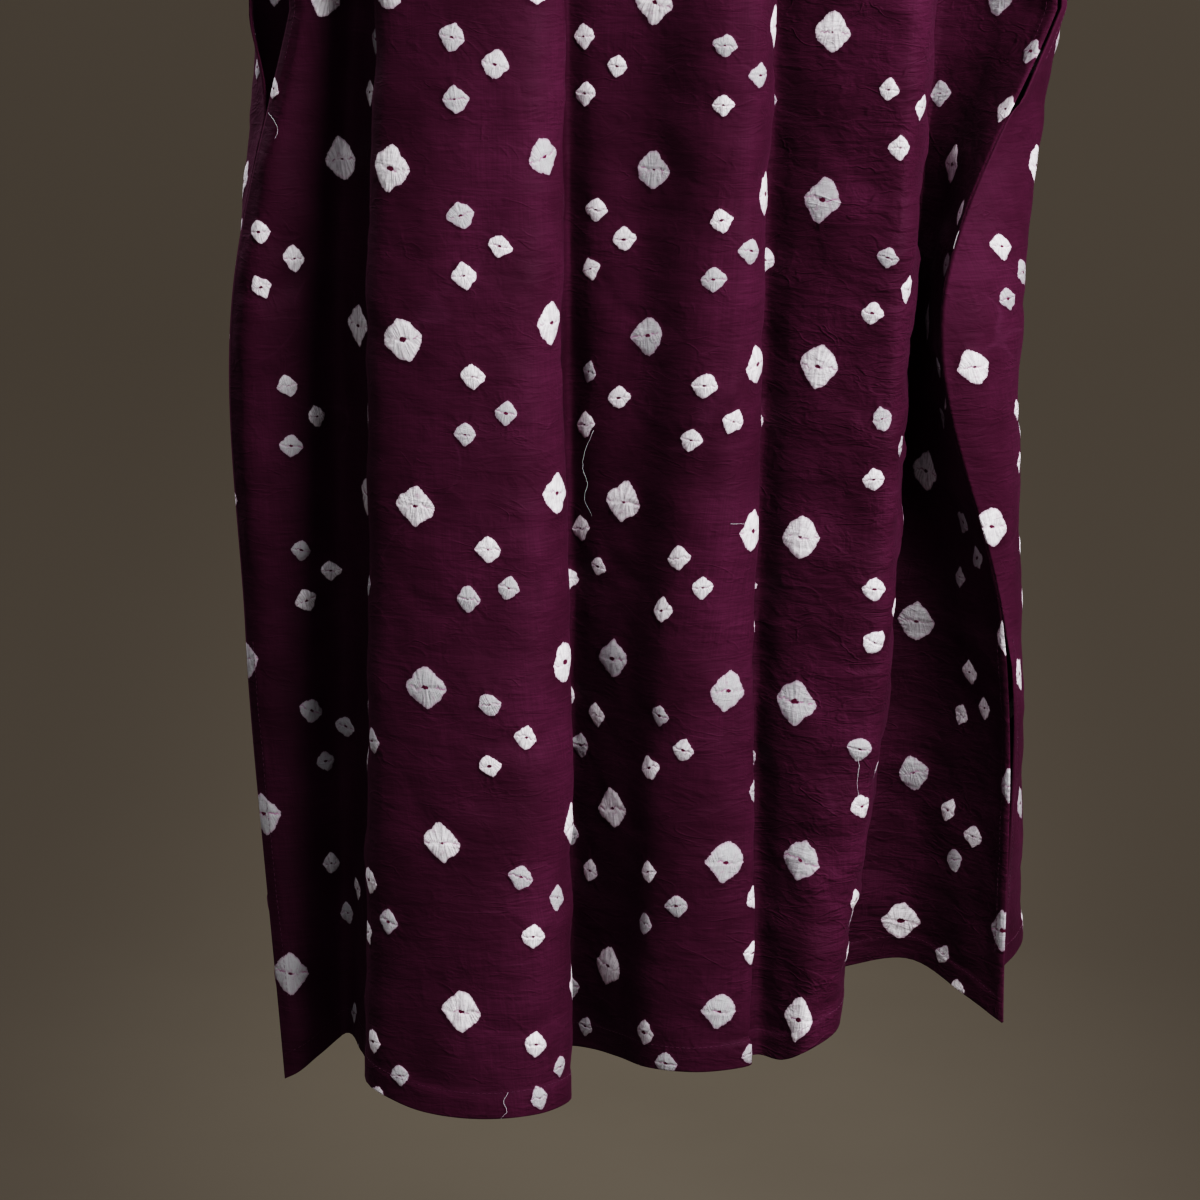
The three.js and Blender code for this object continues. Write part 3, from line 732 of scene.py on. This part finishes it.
def stitch_pieces(path, outward, seed, length=2.4, gap=1.3, radius=0.16, stand=0.05):
    """Short rounded stitches along a path in millimetres: points and faces, 20 faces a stitch."""
    rng = np.random.default_rng(seed)
    step = np.linalg.norm(np.diff(path, axis=0), axis=1)
    along = np.concatenate([[0], np.cumsum(step)])
    starts = np.arange(gap, along[-1] - length - gap, length + gap)
    starts = starts + rng.uniform(-0.25, 0.25, len(starts))

    def at(distance, values):
        return np.stack([np.interp(distance, along, values[:, k]) for k in range(3)], axis=-1)

    a, b = at(starts, path), at(starts + length, path)
    out = unit(at(starts + length / 2, outward))
    run = unit(b - a)
    side = unit(np.cross(run, out))
    shares = np.array([0.0, 0.2, 0.8, 1.0])
    lift = np.array([-0.12, 0.06, 0.06, -0.12]) + stand
    size = np.array([0.5, 1.0, 1.0, 0.5]) * radius
    turns = np.arange(4) * np.pi / 2 + np.pi / 4
    middle = a[:, None] + (b - a)[:, None] * shares[None, :, None] + out[:, None] * lift[None, :, None]
    ring = (side[:, None, None] * np.cos(turns)[None, None, :, None]
            + out[:, None, None] * np.sin(turns)[None, None, :, None]) * size[None, :, None, None]
    points = (middle[:, :, None] + ring).reshape(-1, 3)
    ids = np.arange(16).reshape(4, 4)
    turned = np.roll(ids, -1, axis=1)
    body = np.stack([ids[:-1], ids[1:], turned[1:], turned[:-1]], axis=-1)
    ends = np.array([[3, 2, 1, 0], [12, 13, 14, 15]])
    one = np.concatenate([body.reshape(-1, 4), ends])[:, ::-1]
    faces = (one[None] + 16 * np.arange(len(a))[:, None, None]).reshape(-1, 4)
    return points, faces


def thread_tube(path, radius, seed):
    """A stray thread end: a six-sided tube along a path in millimetres, thinning at its free end."""
    rng = np.random.default_rng(seed)
    path = np.array(path, float)
    t = np.linspace(0, 1, 28)
    line = curve_at(path.T, np.linspace(0, 1, len(path)), t).T
    line = line + rng.normal(0, 0.12, line.shape)
    run = unit(np.gradient(line, axis=0))
    side = unit(np.cross(run, (0.31, 0.87, 0.38)))
    up = np.cross(side, run)
    turns = np.arange(THREAD_SIDES) * 2 * np.pi / THREAD_SIDES
    size = radius * (1 - 0.6 * t ** 4)
    ring = side[:, None] * np.cos(turns)[None, :, None] + up[:, None] * np.sin(turns)[None, :, None]
    points = (line[:, None] + ring * size[:, None, None]).reshape(-1, 3)
    ids = np.arange(len(t) * THREAD_SIDES).reshape(len(t), THREAD_SIDES)
    turned = np.roll(ids, -1, axis=1)
    body = np.stack([ids[:-1], turned[:-1], turned[1:], ids[1:]], axis=-1).reshape(-1, 4)
    root_cap = ids[0][np.array([[0, 3, 2, 1], [0, 5, 4, 3]])]
    tip_cap = ids[-1][np.array([[0, 1, 2, 3], [0, 3, 4, 5]])]
    return points, np.concatenate([body, root_cap, tip_cap])


def joined(name, parts):
    """One object from several (points, faces) parts in millimetres."""
    starts = np.cumsum([0] + [len(points) for points, _ in parts])
    faces = [faces + start for (_, faces), start in zip(parts, starts)]
    return mesh_object(name, np.concatenate([points for points, _ in parts]) * MM, np.concatenate(faces))


def lying_path(panel, path):
    """A path of x, height and stand-off, laid on the part of a panel that is foremost there."""
    rows = panel["rows"]
    points = []
    for x, z, off in path:
        row = rows[np.abs(rows[:, :, 2] - z).sum(axis=1).argmin()]
        near = row[np.abs(row[:, 0] - x) < THREAD_NEAR]
        front = near[near[:, 1].argmin()]
        points.append((x, front[1] - CLOTH / 2 - off, z))
    return points


def across_path(panel, up):
    """A line across a panel at a height up from its hem, with its outward directions."""
    rows, normals = panel["rows"], panel["normals"]
    step = np.linalg.norm(np.diff(rows, axis=0), axis=-1)
    from_hem = np.concatenate([np.cumsum(step[::-1], axis=0)[::-1], np.zeros((1, rows.shape[1]))])
    path, out = [], []
    for c in range(rows.shape[1]):
        r = np.searchsorted(-from_hem[:, c], -up)
        share = (from_hem[r - 1, c] - up) / (from_hem[r - 1, c] - from_hem[r, c])
        path.append(lerp(rows[r - 1, c], rows[r, c], share))
        out.append(lerp(normals[r - 1, c], normals[r, c], share))
    return np.array(path), np.array(out)


def inset_path(panel, inset, first_row, last_row, last_column):
    """A line down a panel at a distance in from one side edge, with its outward directions."""
    path, out = [], []
    across = widths(panel["rows"])
    for r in range(first_row, last_row):
        distance = across[r, -1] - inset if last_column else inset
        path.append([np.interp(distance, across[r], panel["rows"][r, :, k]) for k in range(3)])
        out.append([np.interp(distance, across[r], panel["normals"][r, :, k]) for k in range(3)])
    return np.array(path), np.array(out)


def stitches_for(name, panel, seed):
    """The hem, slit and sleeve-end stitching of one panel, on its outer face."""
    rows = panel["rows"]
    half = (CLOTH + HEM_THICKER) / 2
    depth = -rows[:, 0, 2]
    slit = np.searchsorted(depth, SLIT_START + SLIT_STITCH_DOWN)
    sleeve = np.searchsorted(depth, SLEEVE_END - SLEEVE_STITCH_UP)
    lines = [across_path(panel, HEM_DEPTH - 0.5)]
    for last_column in (False, True):
        lines.append(inset_path(panel, SIDE_STITCH_IN, slit, len(rows) + LAST_STITCH_ROW, last_column))
        lines.append(inset_path(panel, SIDE_STITCH_IN, FIRST_STITCH_ROW, sleeve, last_column))
    return joined(name, [stitch_pieces(path + out * half, out, seed + i)
                         for i, (path, out) in enumerate(lines)])


class Nodes:
    """Short calls for adding and joining shader nodes in one tree."""

    def __init__(self, tree):
        self.tree = tree

    def add(self, kind, **values):
        node = self.tree.nodes.new(kind)
        for key, value in values.items():
            setattr(node, key, value)
        return node

    def put(self, value, socket):
        if isinstance(value, bpy.types.NodeSocket):
            self.tree.links.new(value, socket)
        else:
            socket.default_value = value

    def math(self, operation, a, b=0.0):
        node = self.add("ShaderNodeMath", operation=operation)
        self.put(a, node.inputs[0])
        self.put(b, node.inputs[1])
        return node.outputs[0]

    def plus(self, a, *rest):
        for b in rest:
            a = self.math("ADD", a, b)
        return a

    def minus(self, a, b):
        return self.math("SUBTRACT", a, b)

    def times(self, a, *rest):
        for b in rest:
            a = self.math("MULTIPLY", a, b)
        return a

    def size(self, a):
        return self.math("ABSOLUTE", a)

    def vector(self, operation, a, b=None):
        node = self.add("ShaderNodeVectorMath", operation=operation)
        self.put(a, node.inputs[0])
        if b is not None:
            self.put(b, node.inputs[1])
        return node.outputs["Value" if operation == "LENGTH" else "Vector"]

    def combine(self, x, y, z):
        node = self.add("ShaderNodeCombineXYZ")
        for value, socket in zip((x, y, z), node.inputs):
            self.put(value, socket)
        return node.outputs[0]

    def split(self, vector):
        node = self.add("ShaderNodeSeparateXYZ")
        self.put(vector, node.inputs[0])
        return node.outputs

    def noise(self, vector, scale, detail=2.0, roughness=0.5, distortion=0.0):
        node = self.add("ShaderNodeTexNoise")
        self.put(vector, node.inputs["Vector"])
        for label, value in (("Scale", scale), ("Detail", detail), ("Roughness", roughness),
                             ("Distortion", distortion)):
            self.put(value, node.inputs[label])
        return node.outputs[0]

    def ramp(self, value, low, high, to_low=0.0, to_high=1.0):
        node = self.add("ShaderNodeMapRange", interpolation_type="SMOOTHSTEP")
        self.put(value, node.inputs["Value"])
        for label, number in (("From Min", low), ("From Max", high),
                              ("To Min", to_low), ("To Max", to_high)):
            self.put(number, node.inputs[label])
        return node.outputs[0]

    def mix(self, factor, a, b):
        node = self.add("ShaderNodeMix", data_type="RGBA")
        self.put(factor, node.inputs["Factor"])
        self.put(a, node.inputs["A"])
        self.put(b, node.inputs["B"])
        return node.outputs["Result"]

    def group(self, tree, **values):
        node = self.add("ShaderNodeGroup", node_tree=tree)
        for label, value in values.items():
            self.put(value, node.inputs[label])
        return node.outputs

    def give(self, **values):
        """Puts values on the outputs of the group that this tree is."""
        node = self.add("NodeGroupOutput")
        for label, value in values.items():
            self.put(value, node.inputs[label])


def node_group(name, taken, given):
    """A node group that takes one vector and gives plain values: its tree, its calls and the vector."""
    tree = bpy.data.node_groups.new(name, "ShaderNodeTree")
    tree.interface.new_socket(taken, in_out="INPUT", socket_type="NodeSocketVector")
    for label in given:
        tree.interface.new_socket(label, in_out="OUTPUT", socket_type="NodeSocketFloat")
    n = Nodes(tree)
    return tree, n, n.add("NodeGroupInput").outputs[taken]


def tied_dot_group():
    """A tied dot: where it stays undyed, its stained eye, its seepage, the painted shade along its pleats,
    and its pleats' height in mm.
    """
    tree, n, offset = node_group("tied_dot", "Offset", ("Undyed", "Eye", "Seep", "Tone", "Pale", "Height"))
    x, y, seed = n.split(offset)
    depth = n.times(seed, 60.0)
    flat = n.combine(x, y, 0.0)
    radius = n.vector("LENGTH", flat)
    placed = n.combine(x, y, depth)
    turned = n.vector("ADD", n.vector("NORMALIZE", flat), n.combine(0.0, 0.0, depth))

    # Outline: a rounded diamond with lumps, frayed threads and small teeth
    ends = [n.math("POWER", n.size(side), DIAMOND_POWER) for side in (x, y)]
    diamond = n.math("POWER", n.plus(*ends), 1 / DIAMOND_POWER)
    lumps = n.minus(n.noise(turned, 1.1, 1.0), 0.5)
    fray = n.minus(n.noise(placed, 5.5, 3.0, 0.6), 0.5)
    teeth = n.minus(n.noise(n.vector("MULTIPLY", turned, (9.0, 9.0, 1.0)), 1.0, 2.0, 0.7), 0.5)
    edge = n.plus(diamond, n.times(lumps, 0.55), n.times(fray, 0.14), n.times(teeth, 0.12))
    undyed = n.ramp(edge, 0.95, 1.00, 1.0, 0.0)

    # Pleats run from a wandering fold line across the middle, and spread as they leave it
    wander = n.minus(n.noise(n.combine(n.times(x, 1.4), depth, 0.0), 1.0, 3.0, 0.7), 0.5)
    from_fold = n.minus(y, n.times(wander, 0.75))
    away = n.size(from_fold)
    spread = n.math("DIVIDE", x, n.plus(n.times(away, 0.5), 0.5))
    half = n.times(n.math("SIGN", from_fold), 3.0)
    pleated = n.combine(n.times(spread, 6.0), n.plus(half, y), depth)
    pleat = n.noise(pleated, 1.0, 3.0, 0.6)
    fine = n.noise(n.vector("MULTIPLY", pleated, (2.6, 0.5, 1.0)), 1.0, 2.0, 0.6)
    off_fold = n.ramp(away, 0.0, 0.18, 0.40, 1.0)
    fold_line = n.times(n.ramp(away, 0.0, 0.07, 1.0, 0.0), n.ramp(n.noise(placed, 2.6, 1.0), 0.42, 0.6))
    # Painted shade: the pleat streaks are greyed away from the fold line, standing in for their darker
    # facets
    pleat_shade = n.times(n.ramp(pleat, 0.44, 0.60), off_fold)

    # Dye that seeped in: in blotches, along the fold line and at the fringe
    blotch = n.ramp(n.noise(placed, 3.2, 3.0, 0.6), 0.56, 0.74)
    near_fold = n.times(n.ramp(away, 0.0, 0.22, 1.0, 0.0), n.ramp(n.noise(placed, 4.0, 2.0), 0.50, 0.68))
    seep = n.math("MAXIMUM", n.times(blotch, 0.40), n.times(near_fold, 0.36))
    seep = n.times(n.math("MAXIMUM", seep, n.times(fold_line, 0.8)), undyed)
    fringe = n.times(n.ramp(edge, 0.84, 0.97), undyed, 0.45)
    seep = n.math("MAXIMUM", seep, fringe)

    # The stained eye where the tip stood out of the tie, as large as the dot's own number says
    eye_place = n.vector("LENGTH", n.combine(x, n.times(y, 1.7), 0.0))
    eye_edge = n.plus(eye_place, n.times(n.minus(n.noise(placed, 9.0, 2.0), 0.5), 0.22))
    eye_reach = n.times(n.noise(n.combine(0.0, n.times(depth, 1.7), 0.0), 1.0, 0.0), 0.30)
    eye = n.ramp(n.minus(eye_reach, eye_edge), -0.03, 0.04)
    tone = n.noise(n.combine(depth, n.times(seed, 23.0), 0.0), 1.0, 0.0)

    # Height: pleats within the dot, a low peak, fanning gathers round it, and the pinched fold line
    streaks = n.times(n.plus(n.times(pleat, 0.75), n.times(fine, 0.28)), off_fold, 2.2)
    streaks = n.times(streaks, n.ramp(diamond, 0.7, 1.25, 1.0, 0.0))
    peak = n.times(n.math("MAXIMUM", n.minus(1.0, diamond), 0.0), 1.5)
    fan = n.minus(n.noise(turned, 2.4, 1.0, 0.5), 0.5)
    fade = n.times(n.ramp(radius, 0.5, 1.0), n.ramp(radius, 1.0, 3.2, 1.0, 0.0))
    raised = n.plus(streaks, peak, n.times(fan, fade, 0.95))
    height = n.minus(raised, n.times(fold_line, undyed, 0.16))
    n.give(Undyed=undyed, Eye=eye, Seep=seep, Tone=tone, Pale=pleat_shade, Height=height)
    return tree


def cloth_surface_group():
    """The cloth's own surface: slubby threads and crinkles as height in mm, and uneven dye as tone."""
    tree, n, cloth = node_group("cloth_surface", "Cloth", ("Tone", "Patch", "Line", "Height"))

    def stretched(across, down):
        return n.vector("MULTIPLY", cloth, (across, down, 1.0))

    slub = n.noise(stretched(38.0, 900.0), 1.0, 2.0, 0.6)
    warp = n.noise(stretched(1100.0, 30.0), 1.0, 1.0)
    crinkle = n.noise(stretched(32.0, 150.0), 1.0, 4.0, 0.62, 0.7)
    slant = n.noise(stretched(55.0, 75.0), 1.0, 3.0, 0.55, 0.8)
    patch = n.noise(stretched(14.0, 11.0), 1.0, 3.0, 0.6)
    # Thin crease lines: a little raised relief, and lighter colour in the material as a painted highlight
    lines = n.noise(stretched(7.0, 13.0), 1.0, 1.0, 0.4, 0.3)
    line = n.times(n.ramp(n.size(n.minus(lines, 0.5)), 0.0, 0.006, 1.0, 0.0),
                   n.ramp(n.noise(stretched(19.0, 17.0), 1.0, 1.0), 0.52, 0.66))
    ridges = n.noise(stretched(24.0, 52.0), 1.0, 2.0, 0.5, 1.2)
    ridge = n.times(n.ramp(n.size(n.minus(ridges, 0.5)), 0.0, 0.05, 1.0, 0.0),
                    n.ramp(n.noise(stretched(16.0, 22.0), 2.0, 1.0), 0.42, 0.62))
    threads = n.times(n.plus(slub, n.times(warp, 0.8)), 0.05)
    folds = n.plus(n.times(crinkle, 1.05), n.times(slant, 1.15), n.times(ridge, 0.24))
    crumpled = n.ramp(n.split(cloth)[0], CRUMPLED[0], CRUMPLED[1], 1.0, 2.3)
    height = n.plus(threads, n.times(folds, crumpled), n.times(line, 0.10))
    tone = n.plus(n.times(slub, 0.6), n.times(warp, 0.4))
    n.give(Tone=tone, Patch=patch, Line=line, Height=height)
    return tree


def principled(name, roughness, sheen):
    """A new material with one shader, of low specular and soft sheen, on its output."""
    material = bpy.data.materials.new(name)
    material.use_nodes = True
    material.node_tree.nodes.clear()
    n = Nodes(material.node_tree)
    shader = n.add("ShaderNodeBsdfPrincipled")
    n.put(shader.outputs[0], n.add("ShaderNodeOutputMaterial").inputs["Surface"])
    n.put(roughness, shader.inputs["Roughness"])
    n.put(0.05, shader.inputs["Specular IOR Level"])
    n.put(sheen, shader.inputs["Sheen Weight"])
    n.put(0.45, shader.inputs["Sheen Roughness"])
    return material, n, shader


def bump(n, shader, height, strength):
    """Bump on a shader from a height in millimetres."""
    node = n.add("ShaderNodeBump")
    n.put(height, node.inputs["Height"])
    n.put(strength, node.inputs["Strength"])
    n.put(MM, node.inputs["Distance"])
    n.put(node.outputs[0], shader.inputs["Normal"])


def bandhani_material(dot_tree, surface_tree):
    """Dyed cloth with slubs and patches, thin crease lines coloured lighter as a painted highlight, and
    undyed dots with their seepage, eyes and painted shade along their pleats.
    """
    material, n, shader = principled("bandhani_cloth", 0.68, 0.03)
    n.put((1.0, 0.35, 0.7, 1.0), shader.inputs["Sheen Tint"])
    cloth = n.add("ShaderNodeUVMap", uv_map="UVMap").outputs[0]
    offset = n.add("ShaderNodeAttribute", attribute_name="tied_dot").outputs["Vector"]
    dot = n.group(dot_tree, Offset=offset)
    surface = n.group(surface_tree, Cloth=cloth)
    plum = n.mix(n.ramp(surface["Patch"], 0.3, 0.7), PLUM_DEEP, PLUM)
    plum = n.mix(n.ramp(surface["Tone"], 0.38, 0.62, 0.0, 0.60), plum, PLUM_THREAD)
    # Painted highlight: thin crease lines made lighter plum
    plum = n.mix(n.times(surface["Line"], 0.22), plum, PLUM_CREASE_HIGHLIGHT_AND_STITCH)
    bare = n.mix(n.ramp(dot["Tone"], 0.52, 0.60), DOT_WHITE, DOT_GREY)
    # Painted shade along the dots' pleat streaks
    bare = n.mix(n.times(dot["Pale"], 0.55), bare, DOT_PAINTED_PLEAT_SHADE)
    bare = n.mix(dot["Seep"], bare, DOT_SEEP)
    color = n.mix(dot["Undyed"], plum, bare)
    color = n.mix(dot["Eye"], color, DOT_EYE)
    n.put(color, shader.inputs["Base Color"])
    n.put(n.ramp(surface["Patch"], 0.3, 0.7, 0.60, 0.74), shader.inputs["Roughness"])
    bump(n, shader, n.plus(surface["Height"], dot["Height"]), 0.8)
    return material


def binding_material(surface_tree):
    """Plain dyed cloth for the neck binding."""
    material, n, shader = principled("binding_cloth", 0.6, 0.15)
    cloth = n.add("ShaderNodeUVMap", uv_map="UVMap").outputs[0]
    surface = n.group(surface_tree, Cloth=cloth)
    plum = n.mix(n.ramp(surface["Tone"], 0.35, 0.65), PLUM_DEEP, PLUM_THREAD)
    n.put(plum, shader.inputs["Base Color"])
    bump(n, shader, surface["Height"], 0.7)
    return material


def thread_material(name, color):
    material, n, shader = principled(name, 0.55, 0.1)
    n.put(color, shader.inputs["Base Color"])
    return material


def studio_material():
    """Studio wall and floor in dark paint that also glows as painted light, brightest behind the garment,
    and seen through from behind.
    """
    material, n, shader = principled("studio_paint_and_painted_glow", 0.95, 0.0)
    n.put(STUDIO_PAINT, shader.inputs["Base Color"])
    geometry = n.add("ShaderNodeNewGeometry")
    place = geometry.outputs["Position"]
    # Painted light: wall and floor glow, brightest round the glow centre and darker outwards, with a faint
    # mottle
    away = n.vector("MULTIPLY", n.vector("SUBTRACT", place, GLOW_CENTRE), GLOW_FALL)
    glow = n.mix(n.ramp(n.vector("LENGTH", away), 0.05, 0.95), GLOW_NEAR, GLOW_FAR)
    mottle = n.noise(place, 2.2, 4.0, 0.6)
    glow = n.mix(n.ramp(mottle, 0.35, 0.65, 0.0, 0.10), glow, GLOW_MOTTLE)
    n.put(glow, shader.inputs["Emission Color"])
    n.put(1.0, shader.inputs["Emission Strength"])
    one_sided = n.add("ShaderNodeMixShader")
    n.put(geometry.outputs["Backfacing"], one_sided.inputs[0])
    n.put(shader.outputs[0], one_sided.inputs[1])
    n.put(n.add("ShaderNodeBsdfTransparent").outputs[0], one_sided.inputs[2])
    n.put(one_sided.outputs[0], n.tree.get_output_node("ALL").inputs["Surface"])
    return material


def studio_sweep():
    """A floor below the hem that sweeps up into the wall behind, facing the garment."""
    turn = np.linspace(0.1, np.pi / 2, 12)
    floor_end, wall = SWEEP_START, SWEEP_START + SWEEP_RADIUS
    y = np.concatenate([[-STUDIO_HALF, floor_end], floor_end + SWEEP_RADIUS * np.sin(turn), [wall]])
    z = np.concatenate([[0.0, 0.0], SWEEP_RADIUS * (1 - np.cos(turn)), [WALL_HEIGHT]]) + STUDIO_FLOOR
    points = np.array([(x, *place) for place in zip(y, z) for x in (-STUDIO_HALF, STUDIO_HALF)])
    ids = np.arange(len(points)).reshape(-1, 2)
    quads = np.stack([ids[:-1, 0], ids[:-1, 1], ids[1:, 1], ids[1:, 0]], axis=-1)
    return mesh_object("studio_sweep", points, quads)


def area_light(name, place, aim, size, power, color):
    """A square lamp at a place, turned to a point at a height on the garment's middle line."""
    light = bpy.data.lights.new(name, "AREA")
    light.shape = "RECTANGLE"
    light.size, light.size_y = size
    light.energy = power
    light.color = color
    obj = bpy.data.objects.new(name, light)
    obj.location = place
    obj.rotation_euler = (Vector((0.0, 0.0, aim)) - Vector(place)).to_track_quat("-Z", "Y").to_euler()
    bpy.context.scene.collection.objects.link(obj)


front = make_panel(FRONT_FOLDS, FRONT_STEPS, -1, FRONT_NECK, FRONT_CHEST, FRONT_NECK_LINES,
                   FRONT_CREASES, 11)
back = make_panel(BACK_FOLDS, BACK_STEPS, 1, BACK_NECK, BACK_CHEST, BACK_NECK_LINES,
                  BACK_CREASES, 23)
shared_edge_normals(front, back)

front_cloth = panel_object("front_cloth", front)
back_cloth = panel_object("back_cloth", back)
binding_cloth = binding_object(front, back)
front_stitching = stitches_for("front_stitching", front, 41)
back_stitching = stitches_for("back_stitching", back, 51)
loose_threads = joined("loose_threads", [thread_tube(lying_path(front, path), radius, 61 + i)
                                         for i, (radius, path) in enumerate(LOOSE_THREADS)])

surface_tree = cloth_surface_group()
bandhani = bandhani_material(tied_dot_group(), surface_tree)
plum_thread = thread_material("plum_thread", PLUM_CREASE_HIGHLIGHT_AND_STITCH)
loose_thread = thread_material("loose_thread", THREAD_WHITE)
looks = [(front_cloth, bandhani), (back_cloth, bandhani), (binding_cloth, binding_material(surface_tree)),
         (front_stitching, plum_thread), (back_stitching, plum_thread), (loose_threads, loose_thread)]
for obj, look in looks:
    obj.data.materials.append(look)
    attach(obj, "root")

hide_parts("front_panel")
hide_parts("back_panel")
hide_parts("neck_binding")

studio = studio_sweep()
studio.data.materials.append(studio_material())
for light in LIGHTS:
    area_light(*light)

world = bpy.data.worlds.new("studio")
world.use_nodes = True
world.node_tree.nodes["Background"].inputs["Color"].default_value = WORLD_COLOR
world.node_tree.nodes["Background"].inputs["Strength"].default_value = WORLD_STRENGTH
scene = bpy.context.scene
scene.world = world
scene.view_settings.view_transform = "Filmic"
scene.view_settings.look = "High Contrast"

camera = bpy.data.objects.new("camera", bpy.data.cameras.new("camera"))
camera.location = CAMERA_PLACE
camera.rotation_euler = (np.radians(CAMERA_TILT), 0.0, 0.0)
camera.data.lens = CAMERA_LENS
camera.data.sensor_width = 36.0
scene.collection.objects.link(camera)
scene.camera = camera
